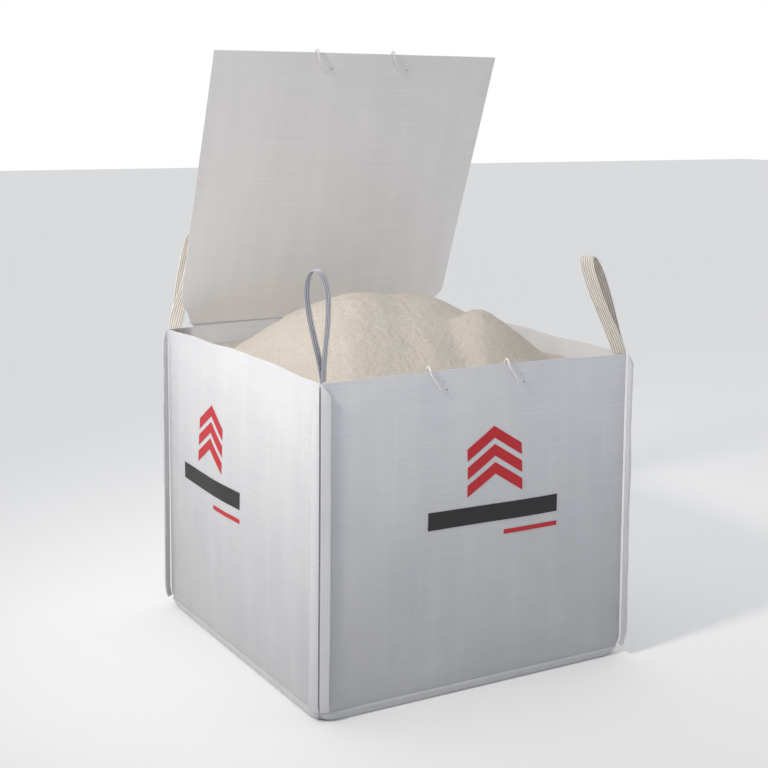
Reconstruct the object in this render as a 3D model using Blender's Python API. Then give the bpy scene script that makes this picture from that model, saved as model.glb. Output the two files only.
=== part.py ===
"""Bulk bag full of sand: four fabric panels, base, flap lid, four webbing lift loops and short tie cords.

Metres, +Z up. The origin is the centre of the base's underside. The front faces -Y and the left side -X.
"""

import math

import bpy
from mathutils import Matrix, Vector

# The bag's box
WIDTH = 0.920
DEPTH = 0.966
RIM_HEIGHT = 0.837
RIM_CROWN = 0.008
FABRIC = 0.003
GAP = 0.0003
SEAM_GAP = GAP * 0.75

# The shape of the walls
BULGE = 0.012
FLARE_POWER = 1.3
CORNER_RADIUS = 0.010
FOOT_RADIUS = 0.055
FOOT_TUCK = 0.007
FOOT_HEIGHT = 0.055
LEVELS = 12
LEVEL_CROWDING = 1.6
ARC_STEPS = 3
STRAIGHT_STEPS = 10
CORNER_TURN = math.radians(45)

# Bottom hems and corner flaps
HEM_TOP = 0.024
HEM_BOTTOM = 0.001
HEM_THICKNESS = 0.0025
HEM_STANDOFF = 0.0006
FLAP_WIDTH = 0.024
FLAP_THICKNESS = 0.0025
FLAP_STANDOFF = 0.0045
FLAP_PAST_CORNER = 0.0018
FLAP_FOOT = 0.028
FLAP_CUT = 0.030
FLAP_LEVELS = 8
LAID_BACK = math.radians(16)
SPREAD = math.radians(34)
HALF_STANDING = math.radians(50)
STANDING = math.radians(76)
PAST_STANDING = math.radians(110)

# Lid
LID_LEFT = -0.428
LID_RIGHT = 0.470
LID_LENGTH = 0.829
LID_LEAN = math.radians(20.9)
LID_THICKNESS = 0.003
LID_LIFT = 0.0115
LID_NOTCHES = {"left": (0.040, 0.064), "right": (0.062, 0.066)}
LID_NOTCH_SLOPE = 0.016
SEAM_HALF = 0.414
SEAM_DROP = 0.026
SEAM_STANDOFF = 0.0008
SEAM_THICKNESS = 0.0016

# Lift loops: webbing bent into a teardrop, both legs together at the rim
WEB_WIDTH = 0.039
WEB_THICKNESS = 0.0025
LOOP_HEIGHT = 0.262
LOOP_SPREAD = 0.0385
LOOP_STEPS = 40
OUTER_START = math.radians(4)
INNER_START = math.radians(52)
LOOP_FOOT_LIFT = 0.003
WEB_START = 0.003
TWIST_HEIGHT = 0.100
TAIL_LENGTH = 0.260
TAIL_WIDTH = 0.040
TAIL_START = 0.012
TAIL_DROP = 0.006
TAIL_THICKNESS = 0.0016
TAIL_STANDOFF = 0.0008

# Tie cords
CORD_RADIUS = 0.0025
TIE_DROP = 0.052
TIE_INSIDE = 0.026
TIE_SHIFT = 0.034
FRONT_TIES = {"left": -0.131, "right": 0.107}
LID_TIES = {"left": -0.086, "right": 0.156}

# Sand
SAND_INSET = 0.0065
SAND_FLOOR = FABRIC + 0.001
SAND_LEVEL = -0.051
SAND_BLEND = 0.012
SAND_RINGS = 9
SAND_LEVELS = 7
HEAPS = (
    {"x": -0.039, "y": -0.041, "height": 0.146, "radius": 0.386, "tip": 1.2},
    {"x": 0.195, "y": -0.153, "height": 0.089, "radius": 0.147, "tip": 0.59},
)

UP = Vector((0, 0, 1))


class Side:
    """One side of the bag: the way it runs, the way it faces, and its half sizes."""

    def __init__(self, along, out, half_along, half_out):
        self.along = Vector(along)
        self.out = Vector(out)
        self.half_along = half_along
        self.half_out = half_out
        self.start_flare = Vector()
        self.end_flare = Vector()

    def flare(self, share):
        return self.start_flare.lerp(self.end_flare, (share + 1) / 2)


# Going round the bag anticlockwise, seen from above
SIDES = {
    "front": Side((1, 0, 0), (0, -1, 0), WIDTH / 2, DEPTH / 2),
    "right": Side((0, 1, 0), (1, 0, 0), DEPTH / 2, WIDTH / 2),
    "rear": Side((-1, 0, 0), (0, 1, 0), WIDTH / 2, DEPTH / 2),
    "left": Side((0, -1, 0), (-1, 0, 0), DEPTH / 2, WIDTH / 2),
}

# Each corner: the side that ends there, the side that starts there, how far each one's flap stands off,
# and how far the load pushes the corner out at the floor
CORNERS = {
    "front_left": {
        "ends": "left", "starts": "front", "lifts": (LAID_BACK, LAID_BACK), "flare": (-0.021, -0.027, 0)
    },
    "front_right": {
        "ends": "front", "starts": "right", "lifts": (STANDING, STANDING), "flare": (0.003, -0.012, 0)
    },
    "rear_right": {
        "ends": "right", "starts": "rear", "lifts": (SPREAD, SPREAD), "flare": (0.010, 0.010, 0)
    },
    "rear_left": {
        "ends": "rear", "starts": "left", "lifts": (PAST_STANDING, HALF_STANDING),
        "flare": (-0.006, 0.006, 0)
    },
}

for corner in CORNERS.values():
    SIDES[corner["ends"]].end_flare = SIDES[corner["starts"]].start_flare = Vector(corner["flare"])

# How each standing loop leans and rises along its length, and its twist in eighths of a turn
LOOP_LEANS = {
    "front_left": {"x": -0.048, "y": 0.048, "rise": 1, "twist": 0},
    "front_right": {"x": -0.255, "y": 0.235, "rise": 0.965, "twist": -0.45},
    "rear_left": {"x": 0.43, "y": 0.40, "rise": 1, "twist": 1},
    "rear_right": {"x": -0.20, "y": 0.50, "rise": 1, "twist": -1},
}


# ---------------------------------------------------------------- materials and objects

def principled(name, colour, roughness):
    material = bpy.data.materials.new(name)
    material.use_nodes = True
    shader = material.node_tree.nodes["Principled BSDF"]
    shader.inputs["Base Color"].default_value = (*colour, 1)
    shader.inputs["Roughness"].default_value = roughness
    material.diffuse_color = (*colour, 1)
    return material


def add_mesh(name, points, faces, material, smooth=False):
    mesh = bpy.data.meshes.new(name)
    mesh.from_pydata([tuple(point) for point in points], [], faces)
    mesh.validate()
    if smooth:
        mesh.shade_smooth()
        mesh.set_sharp_from_angle(angle=math.radians(35))
    mesh.materials.append(material)
    thing = bpy.data.objects.new(name, mesh)
    bpy.context.scene.collection.objects.link(thing)
    return thing


def loft(name, rings, material, smooth=True):
    """A closed solid through rings of equal count, each ring anticlockwise seen from the last one."""
    count = len(rings[0])
    points = [point for ring in rings for point in ring]
    faces = []
    for row in range(len(rings) - 1):
        for i in range(count):
            j = (i + 1) % count
            faces.append((row * count + i, row * count + j, (row + 1) * count + j, (row + 1) * count + i))
    last = (len(rings) - 1) * count
    faces.append(tuple(reversed(range(count))))
    faces.append(tuple(range(last, last + count)))
    return add_mesh(name, points, faces, material, smooth)


def sheet(name, outer, inner, material):
    """A closed curved plate from two grids of points, the outer one seen with its rows going up."""
    rows, columns = len(outer), len(outer[0])
    points = [point for grid in (outer, inner) for row in grid for point in row]
    skin = rows * columns
    faces = []
    for r in range(rows - 1):
        for c in range(columns - 1):
            quad = (r * columns + c, r * columns + c + 1, (r + 1) * columns + c + 1, (r + 1) * columns + c)
            faces.append(quad)
            faces.append(tuple(skin + i for i in reversed(quad)))
    rim = [c for c in range(columns)]
    rim += [r * columns + columns - 1 for r in range(1, rows)]
    rim += [(rows - 1) * columns + c for c in reversed(range(columns - 1))]
    rim += [r * columns for r in reversed(range(1, rows - 1))]
    for a, b in zip(rim, rim[1:] + rim[:1]):
        faces.append((b, a, skin + a, skin + b))
    return add_mesh(name, points, faces, material, smooth=True)


# ---------------------------------------------------------------- the walls

def foot_share(z):
    """1 at the floor, falling smoothly to 0 where the foot's rounding ends."""
    return max(0.0, 1 - z / FOOT_HEIGHT) ** 2


def corner_radius(z):
    return CORNER_RADIUS + (FOOT_RADIUS - CORNER_RADIUS) * foot_share(z)


def flare_share(z):
    """1 at the floor, falling to 0 at the rim: how much of its corner's flare a point takes."""
    return max(0.0, 1 - z / RIM_HEIGHT) ** FLARE_POWER


def bulge(z):
    height = min(max(z / RIM_HEIGHT, 0), 1)
    return BULGE * 4 * height * (1 - height)


def stations():
    """Places along a side, corner to corner: (share of the straight, turn of the corner's arc)."""
    lead = [(-1, -CORNER_TURN * (1 - i / ARC_STEPS)) for i in range(ARC_STEPS)]
    straight = [(2 * i / STRAIGHT_STEPS - 1, 0) for i in range(STRAIGHT_STEPS + 1)]
    return lead + straight + [(1, -turn) for _, turn in reversed(lead)]


def wall(side, station, z, inset=0.0):
    """A point of the wall at this station and height, inset from its outer face."""
    share, turn = station
    radius = corner_radius(z)
    tuck = FOOT_TUCK * foot_share(z)
    straight = side.half_along - tuck - radius
    turned = radius - inset
    along = share * straight + turned * math.sin(turn)
    out = side.half_out - tuck - radius + turned * math.cos(turn) + bulge(z) * (1 - share * share)
    return side.along * along + side.out * out + UP * z + side.flare(share) * flare_share(z)


def beside_corner(side, distance, z, inset):
    """A point of the wall this far from the box's corner, at the side's start when distance > 0."""
    straight = side.half_along - FOOT_TUCK * foot_share(z) - corner_radius(z)
    along = math.copysign(side.half_along - abs(distance), -distance)
    return wall(side, (along / straight, 0), z, inset)


def rim_height(share):
    return RIM_HEIGHT + RIM_CROWN * (1 - share * share)


def make_panel(name, side, material):
    places = stations()
    outer, inner = [], []
    low = FABRIC + GAP
    for level in range(LEVELS + 1):
        share_up = (level / LEVELS) ** LEVEL_CROWDING
        for grid, inset in ((outer, 0.0), (inner, FABRIC)):
            tops = [rim_height(share) for share, _ in places]
            row = [wall(side, place, low + (top - low) * share_up, inset) for place, top in zip(places, tops)]
            row[0] = row[0] + side.along * SEAM_GAP
            row[-1] = row[-1] - side.along * SEAM_GAP
            grid.append(row)
    sheet(name, outer, inner, material)


def outline(z, inset):
    """The bag's whole outline at a height, without repeating the corners."""
    return [wall(side, place, z, inset) for side in SIDES.values() for place in stations()[:-1]]


def make_base(material):
    ring = outline(0.0, 0.0)
    count = len(ring)
    points = ring + [point + UP * FABRIC for point in ring] + [Vector((0, 0, 0)), UP * FABRIC]
    low, high = 2 * count, 2 * count + 1
    faces = []
    for i in range(count):
        j = (i + 1) % count
        faces += [(i, j, count + j, count + i), (j, i, low), (count + i, count + j, high)]
    add_mesh("base_panel", points, faces, material)


def make_bottom_hem(name, side, material):
    """The stitched strip round the foot, which stops short of the middle of each corner."""
    places = stations()[1:-1]
    heights = [HEM_BOTTOM + (HEM_TOP - HEM_BOTTOM) * i / 3 for i in range(4)]
    near = -HEM_STANDOFF
    outer = [[wall(side, place, z, near - HEM_THICKNESS) for place in places] for z in heights]
    inner = [[wall(side, place, z, near) for place in places] for z in heights]
    sheet(name, outer, inner, material)


def make_corner_flap(name, side, at_end, lift, material):
    """A turned-out seam allowance: a strip from the corner's line, laid on its panel or standing off."""
    inward = side.along * (-1 if at_end else 1)
    reach = inward * math.cos(lift) + side.out * math.sin(lift)
    face = side.out * math.cos(lift) - inward * math.sin(lift)
    corner = (1, CORNER_TURN) if at_end else (-1, -CORNER_TURN)
    rings = []
    for level in range(FLAP_LEVELS + 1):
        z = FLAP_FOOT + (RIM_HEIGHT - GAP - FLAP_FOOT) * (level / FLAP_LEVELS) ** 2
        root = wall(side, corner, z) + side.out * FLAP_STANDOFF - inward * FLAP_PAST_CORNER
        cut = UP * (FLAP_CUT if level == FLAP_LEVELS else 0)
        ring = [root, root + reach * FLAP_WIDTH - cut]
        ring += [ring[1] + face * FLAP_THICKNESS, ring[0] + face * FLAP_THICKNESS]
        rings.append(ring if at_end else ring[::-1])
    loft(name, rings, material, smooth=False)


# ---------------------------------------------------------------- lift loops

def corner_way(corner):
    """The level direction from the bag's middle line out through a corner."""
    return (SIDES[corner["starts"]].out + SIDES[corner["ends"]].out).normalized()


def corner_point(corner):
    starts, ends = SIDES[corner["starts"]], SIDES[corner["ends"]]
    return starts.out * starts.half_out + ends.out * ends.half_out


def teardrop(offset, first):
    """The webbing's side view, offset from its middle line: (sideways, up) points from leg to leg."""
    points = []
    for i in range(LOOP_STEPS + 1):
        angle = first + (2 * math.pi - 2 * first) * i / LOOP_STEPS
        half = math.sin(angle / 2)
        side = LOOP_SPREAD * math.sin(angle) * half**2
        up = LOOP_HEIGHT * half**2
        run = LOOP_SPREAD * (math.cos(angle) * half**2 + math.sin(angle) * half * math.cos(angle / 2))
        rise = LOOP_HEIGHT * half * math.cos(angle / 2)
        length = math.hypot(run, rise) or 1.0
        points.append((side + offset * rise / length, up - offset * run / length))
    return points


def make_loop(name, corner, lean, material):
    """A closed band of webbing whose foot stands on its hinge line over the corner."""
    way = corner_way(corner)
    across = UP.cross(way)
    foot = corner_point(corner) - way * (WEB_START + WEB_WIDTH / 2) + UP * (RIM_HEIGHT + LOOP_FOOT_LIFT)
    outer = teardrop(WEB_THICKNESS / 2, OUTER_START)
    inner = teardrop(-WEB_THICKNESS / 2, INNER_START)
    outer[0] = (outer[0][0], 0.0)
    outer[-1] = (outer[-1][0], 0.0)
    count = len(outer)

    def place(sideways, up, width):
        share = min(up / TWIST_HEIGHT, 1)
        turn = Matrix.Rotation(lean["twist"] * CORNER_TURN * share, 3, "Z")
        level = turn @ (across * sideways + way * width)
        return level + Vector((lean["x"], lean["y"], lean["rise"])) * up

    points = []
    for width in (-WEB_WIDTH / 2, WEB_WIDTH / 2):
        points += [place(sideways, up, width) for sideways, up in outer + inner]
    faces = []
    face = 2 * count
    for i in range(count):
        j = (i + 1) % count
        faces += [
            (j, i, count + i, count + j),
            (face + i, face + j, face + count + j, face + count + i),
            (i, j, face + j, face + i),
            (count + j, count + i, face + count + i, face + count + j),
        ]
    thing = add_mesh(name, points, faces, material, smooth=True)
    thing.location = foot


def make_tail(name, side, at_end, material):
    """A loop's sewn-down end, flat on the panel's inner face beside the corner."""
    sign = -1 if at_end else 1
    distances = [sign * (TAIL_START + TAIL_WIDTH * i / 3) for i in range(4)]
    if at_end:
        distances.reverse()
    top = RIM_HEIGHT - TAIL_DROP
    heights = [top - TAIL_LENGTH + TAIL_LENGTH * i / 4 for i in range(5)]
    near = FABRIC + TAIL_STANDOFF
    outer = [[beside_corner(side, distance, z, near) for distance in distances] for z in heights]
    far = near + TAIL_THICKNESS
    inner = [[beside_corner(side, distance, z, far) for distance in distances] for z in heights]
    sheet(name, outer, inner, material)


# ---------------------------------------------------------------- lid

def lid_frame():
    """The lid's own axes at rest: hinge point, the way across, up along the lid, out of its front face."""
    hinge = Vector((0, DEPTH / 2 - FABRIC / 2, RIM_HEIGHT + LID_LIFT))
    along = Vector((0, -math.sin(LID_LEAN), math.cos(LID_LEAN)))
    front = Vector((0, -math.cos(LID_LEAN), -math.sin(LID_LEAN)))
    return hinge, Vector((1, 0, 0)), along, front


def make_lid(material):
    hinge, across, along, front = lid_frame()
    left_cut, left_top = LID_NOTCHES["left"]
    right_cut, right_top = LID_NOTCHES["right"]
    shape = (
        (LID_LEFT + left_cut, 0),
        (LID_RIGHT - right_cut, 0),
        (LID_RIGHT - right_cut, right_top - LID_NOTCH_SLOPE),
        (LID_RIGHT, right_top),
        (LID_RIGHT, LID_LENGTH),
        (LID_LEFT, LID_LENGTH),
        (LID_LEFT, left_top),
        (LID_LEFT + left_cut, left_top - LID_NOTCH_SLOPE),
    )
    half = LID_THICKNESS / 2
    rings = []
    for step in (-half, half):
        rings.append([across * x + along * up + front * step for x, up in shape])
    thing = loft("lid_flap", rings, material, smooth=False)
    thing.location = hinge


def make_lid_seam(material):
    """The lid's edge, sewn flat on the outside of the rear panel's rim."""
    side = SIDES["rear"]
    reach = SEAM_HALF / side.half_along
    places = [(reach * (i / 5 - 1), 0) for i in range(11)]
    outer, inner = [], []
    for i in range(3):
        drop = SEAM_DROP * (1 - i / 2)
        for grid, inset in ((outer, -SEAM_STANDOFF - SEAM_THICKNESS), (inner, -SEAM_STANDOFF)):
            grid.append([wall(side, place, rim_height(place[0]) - GAP - drop, inset) for place in places])
    sheet("lid_seam_strip", outer, inner, material)


# ---------------------------------------------------------------- tie cords

def smooth_route(points, per_span):
    """A Catmull-Rom curve through the route's points."""
    ends = [points[0] * 2 - points[1]] + points + [points[-1] * 2 - points[-2]]
    route = []
    for a, b, c, d in zip(ends, ends[1:], ends[2:], ends[3:]):
        for i in range(per_span):
            t = i / per_span
            bend = (2 * a - 5 * b + 4 * c - d) * t**2 + (3 * b - a - 3 * c + d) * t**3
            route.append(b + (c - a) * t / 2 + bend / 2)
    return route + [points[-1]]


def tie_route(place, thickness):
    """A cord's middle line: out of its hole, up and over the edge, down to its second hole."""
    face = thickness / 2 + CORD_RADIUS
    mouth = thickness / 2 + GAP
    stops = (
        (0.000, -TIE_DROP, mouth),
        (-0.001, -TIE_DROP + 0.001, mouth + 0.004),
        (-0.006, -TIE_DROP * 0.84, face + 0.005),
        (-0.018, -TIE_DROP * 0.56, face + 0.006),
        (-0.030, -TIE_DROP * 0.25, face + 0.007),
        (-TIE_SHIFT, 0.000, face + 0.005),
        (-TIE_SHIFT, 0.0065, face),
        (-TIE_SHIFT, 0.0090, 0.000),
        (-TIE_SHIFT, 0.0065, -face),
        (-TIE_SHIFT, 0.000, -face - 0.005),
        (-TIE_SHIFT + 0.004, -TIE_INSIDE * 0.6, -face - 0.006),
        (-TIE_SHIFT + 0.009, -TIE_INSIDE, -mouth - 0.005),
        (-TIE_SHIFT + 0.010, -TIE_INSIDE - 0.001, -mouth),
    )
    return [place(*stop) for stop in stops]


def make_cord(name, route, material):
    curve = bpy.data.curves.new(name, "CURVE")
    curve.dimensions = "3D"
    curve.bevel_depth = CORD_RADIUS
    curve.bevel_resolution = 2
    curve.use_fill_caps = True
    points = smooth_route(route, 2)
    spline = curve.splines.new("POLY")
    spline.points.add(len(points) - 1)
    for point, place in zip(spline.points, points):
        point.co = (*place, 1)
    curve.materials.append(material)
    thing = bpy.data.objects.new(name, curve)
    bpy.context.scene.collection.objects.link(thing)


def make_ties(material):
    front = SIDES["front"]
    for name, hole in FRONT_TIES.items():
        rim = rim_height((hole - TIE_SHIFT) / front.half_along)

        def on_front(x, up, out, hole=hole, rim=rim):
            return wall(front, ((hole + x) / front.half_along, 0), rim + up, FABRIC / 2 - out)

        make_cord(f"front_tie_{name}", tie_route(on_front, FABRIC + 0.001), material)
    hinge, across, along, face = lid_frame()
    for name, hole in LID_TIES.items():
        edge = hinge + across * hole + along * LID_LENGTH

        def on_lid(x, up, out, edge=edge):
            return edge + across * x + along * up + face * out

        make_cord(f"lid_tie_{name}", tie_route(on_lid, LID_THICKNESS), material)


# ---------------------------------------------------------------- sand

def heap_height(x, y):
    """The sand's height above the rim: two rounded cones and the level around them, blended."""
    levels = [SAND_LEVEL]
    for heap in HEAPS:
        distance = math.hypot(x - heap["x"], y - heap["y"]) / heap["radius"]
        tip = heap["tip"]
        fall = (math.hypot(distance, tip) - tip) / (math.hypot(1, tip) - tip)
        levels.append(heap["height"] * (1 - fall))
    return SAND_BLEND * math.log(sum(math.exp(level / SAND_BLEND) for level in levels))


def make_sand(material):
    places = [(side, place) for side in SIDES.values() for place in stations()[:-1]]
    count = len(places)
    low = SAND_FLOOR
    tops = []
    for side, place in places:
        edge = wall(side, place, RIM_HEIGHT, SAND_INSET)
        tops.append(RIM_HEIGHT + heap_height(edge.x, edge.y))
    points = []
    for level in range(SAND_LEVELS + 1):
        share_up = (level / SAND_LEVELS) ** LEVEL_CROWDING
        for (side, place), top in zip(places, tops):
            points.append(wall(side, place, low + (top - low) * share_up, SAND_INSET))
    rim = points[-count:]
    for ring in range(1, SAND_RINGS):
        scale = 1 - ring / SAND_RINGS
        for point in rim:
            x, y = point.x * scale, point.y * scale
            points.append(Vector((x, y, RIM_HEIGHT + heap_height(x, y))))
    rows = SAND_LEVELS + SAND_RINGS
    faces = []
    for row in range(rows - 1):
        for i in range(count):
            j = (i + 1) % count
            faces.append((row * count + i, row * count + j, (row + 1) * count + j, (row + 1) * count + i))
    bottom, peak = len(points), len(points) + 1
    points += [Vector((0, 0, low)), Vector((0, 0, RIM_HEIGHT + heap_height(0, 0)))]
    last = (rows - 1) * count
    for i in range(count):
        j = (i + 1) % count
        faces += [(j, i, bottom), (last + i, last + j, peak)]
    add_mesh("sand_fill", points, faces, material, smooth=True)


# ---------------------------------------------------------------- the whole bag

def build():
    for thing in list(bpy.data.objects):
        bpy.data.objects.remove(thing, do_unlink=True)
    fabric = principled("woven_fabric", (0.66, 0.66, 0.67), 0.75)
    seam = principled("seam_strip", (0.72, 0.72, 0.73), 0.75)
    webbing = principled("striped_webbing", (0.74, 0.70, 0.64), 0.8)
    cord = principled("tie_cord", (0.85, 0.83, 0.80), 0.7)
    sand = principled("sand", (0.70, 0.64, 0.56), 0.95)

    make_base(fabric)
    for name, side in SIDES.items():
        make_panel(f"{name}_panel", side, fabric)
        make_bottom_hem(f"{name}_bottom_hem", side, seam)
    for name, corner in CORNERS.items():
        ends, starts = corner["ends"], corner["starts"]
        make_corner_flap(f"{name}_flap_{ends}", SIDES[ends], True, corner["lifts"][0], seam)
        make_corner_flap(f"{name}_flap_{starts}", SIDES[starts], False, corner["lifts"][1], seam)
        make_tail(f"{name}_tail_{ends}", SIDES[ends], True, webbing)
        make_tail(f"{name}_tail_{starts}", SIDES[starts], False, webbing)
        make_loop(f"{name}_loop", corner, LOOP_LEANS[name], webbing)
    make_lid(fabric)
    make_lid_seam(fabric)
    make_ties(cord)
    make_sand(sand)


build()
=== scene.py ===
"""Looks of the bulk bag: woven shell, flap lid, webbing loops, tie cords and a heap of sand, round the CAD.

Metres, +Z up. The origin is the centre of the base's underside. The front faces -Y and the left side -X.
"""

import math

import bpy
import numpy as np
from mathutils import Matrix, Vector, noise


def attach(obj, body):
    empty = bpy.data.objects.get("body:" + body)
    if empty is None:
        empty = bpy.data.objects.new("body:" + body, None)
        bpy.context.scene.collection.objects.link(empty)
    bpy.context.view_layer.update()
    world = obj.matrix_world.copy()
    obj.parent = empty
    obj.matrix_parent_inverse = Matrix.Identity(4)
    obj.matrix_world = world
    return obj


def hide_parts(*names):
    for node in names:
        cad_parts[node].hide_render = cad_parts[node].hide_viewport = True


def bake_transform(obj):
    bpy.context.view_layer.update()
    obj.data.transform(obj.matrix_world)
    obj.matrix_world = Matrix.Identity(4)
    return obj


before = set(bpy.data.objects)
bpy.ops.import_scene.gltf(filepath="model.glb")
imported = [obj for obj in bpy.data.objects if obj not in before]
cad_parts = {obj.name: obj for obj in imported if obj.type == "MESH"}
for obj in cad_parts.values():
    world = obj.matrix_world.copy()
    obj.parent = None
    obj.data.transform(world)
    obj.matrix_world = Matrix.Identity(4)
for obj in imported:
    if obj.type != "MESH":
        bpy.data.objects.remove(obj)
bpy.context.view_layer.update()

# -------- sizes shared with the CAD part

WIDTH, DEPTH, RIM_HEIGHT = 0.920, 0.966, 0.837
FABRIC, GAP = 0.003, 0.0003
BULGE = 0.012
CORNER_RADIUS, FOOT_RADIUS, FOOT_TUCK, FOOT_HEIGHT = 0.010, 0.055, 0.007, 0.055
FLARE_POWER = 1.3
CORNER_TURN = math.radians(45)
HEM_STANDOFF = 0.0006
FLAP_WIDTH, FLAP_FOOT, FLAP_CUT = 0.024, 0.028, 0.030
FLAP_STANDOFF, FLAP_PAST_CORNER = 0.0045, 0.0018
LAID_BACK, SPREAD, HALF_STANDING = math.radians(16), math.radians(34), math.radians(50)
STANDING, PAST_STANDING = math.radians(76), math.radians(110)
LID_LEFT, LID_RIGHT, LID_LENGTH = -0.428, 0.470, 0.829
LID_LEAN, LID_THICKNESS, LID_LIFT = math.radians(20.9), 0.003, 0.0115
LID_NOTCHES = {"left": (0.040, 0.064), "right": (0.062, 0.066)}
WEB_WIDTH, WEB_THICKNESS = 0.039, 0.0025
LOOP_HEIGHT, LOOP_SPREAD, LOOP_FOOT_LIFT = 0.262, 0.0385, 0.003
WEB_START, TWIST_HEIGHT = 0.003, 0.100
TAIL_START, TAIL_WIDTH, TAIL_LENGTH, TAIL_DROP = 0.012, 0.040, 0.260, 0.006
CORD_RADIUS = 0.0025
TIE_DROP, TIE_INSIDE, TIE_SHIFT = 0.052, 0.026, 0.034
FRONT_TIES = {"left": -0.131, "right": 0.107}
LID_TIES = {"left": -0.086, "right": 0.156}
ROOT, LID = "root_bag", "lid"
UP = Vector((0, 0, 1))


class Side:
    """One side of the bag: the way it runs, the way it faces, and its half sizes."""

    def __init__(self, along, out, half_along, half_out):
        self.along = Vector(along)
        self.out = Vector(out)
        self.half_along = half_along
        self.half_out = half_out
        self.start_flare = Vector()
        self.end_flare = Vector()

    def flare(self, share):
        return self.start_flare.lerp(self.end_flare, (share + 1) / 2)


SIDES = {
    "front": Side((1, 0, 0), (0, -1, 0), WIDTH / 2, DEPTH / 2),
    "right": Side((0, 1, 0), (1, 0, 0), DEPTH / 2, WIDTH / 2),
    "rear": Side((-1, 0, 0), (0, 1, 0), WIDTH / 2, DEPTH / 2),
    "left": Side((0, -1, 0), (-1, 0, 0), DEPTH / 2, WIDTH / 2),
}
CORNERS = {
    "front_left": {
        "ends": "left", "starts": "front", "lifts": (LAID_BACK, LAID_BACK), "flare": (-0.021, -0.027, 0)
    },
    "front_right": {
        "ends": "front", "starts": "right", "lifts": (STANDING, STANDING), "flare": (0.003, -0.012, 0)
    },
    "rear_right": {
        "ends": "right", "starts": "rear", "lifts": (SPREAD, SPREAD), "flare": (0.010, 0.010, 0)
    },
    "rear_left": {
        "ends": "rear", "starts": "left", "lifts": (PAST_STANDING, HALF_STANDING),
        "flare": (-0.006, 0.006, 0)
    },
}
for corner in CORNERS.values():
    SIDES[corner["ends"]].end_flare = SIDES[corner["starts"]].start_flare = Vector(corner["flare"])

LOOP_LEANS = {
    "front_left": {"x": -0.048, "y": 0.048, "rise": 1, "twist": 0},
    "front_right": {"x": -0.255, "y": 0.235, "rise": 0.965, "twist": -0.45},
    "rear_left": {"x": 0.43, "y": 0.40, "rise": 1, "twist": 1},
    "rear_right": {"x": -0.20, "y": 0.50, "rise": 1, "twist": -1},
}


def foot_share(z):
    """The share of the foot's rounding at a height: 1 on the floor, 0 from FOOT_HEIGHT up."""
    return max(0.0, 1 - z / FOOT_HEIGHT) ** 2


def corner_radius(z):
    return CORNER_RADIUS + (FOOT_RADIUS - CORNER_RADIUS) * foot_share(z)


def flare_share(z):
    """The share of the foot's outward flare at a height: 1 on the floor, 0 at the rim."""
    return max(0.0, 1 - z / RIM_HEIGHT) ** FLARE_POWER


def bulge(z):
    height = min(max(z / RIM_HEIGHT, 0), 1)
    return BULGE * 4 * height * (1 - height)


def wall(side, station, z, inset=0.0):
    """A point of the wall at a station (share of the straight, turn of the corner's arc) and height."""
    share, turn = station
    radius = corner_radius(z)
    tuck = FOOT_TUCK * foot_share(z)
    straight = side.half_along - tuck - radius
    turned = radius - inset
    along = share * straight + turned * math.sin(turn)
    out = side.half_out - tuck - radius + turned * math.cos(turn) + bulge(z) * (1 - share * share)
    return side.along * along + side.out * out + UP * z + side.flare(share) * flare_share(z)


def smooth(edge_a, edge_b, value):
    t = min(max((value - edge_a) / (edge_b - edge_a), 0.0), 1.0)
    return t * t * (3 - 2 * t)


# -------- camera, first of all

CAMERA_PLACE = (-2.001, -3.452, 1.475)
CAMERA_YAW, CAMERA_PITCH, CAMERA_ROLL = math.radians(29.99), math.radians(10.79), math.radians(0.35)
CAMERA_LENS = 67.96


def add_camera():
    data = bpy.data.cameras.new("camera")
    data.lens, data.sensor_width = CAMERA_LENS, 36
    thing = bpy.data.objects.new("camera", data)
    bpy.context.scene.collection.objects.link(thing)
    yaw, pitch, roll = CAMERA_YAW, CAMERA_PITCH, CAMERA_ROLL
    forward = Vector((math.sin(yaw) * math.cos(pitch), math.cos(yaw) * math.cos(pitch), -math.sin(pitch)))
    level = Vector((math.cos(yaw), -math.sin(yaw), 0))
    above = level.cross(forward)
    right = level * math.cos(roll) + above * math.sin(roll)
    upward = right.cross(forward)
    turn = Matrix((right, upward, -forward)).transposed()
    thing.matrix_world = Matrix.Translation(CAMERA_PLACE) @ turn.to_4x4()
    bpy.context.scene.camera = thing


add_camera()


# -------- materials

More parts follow.
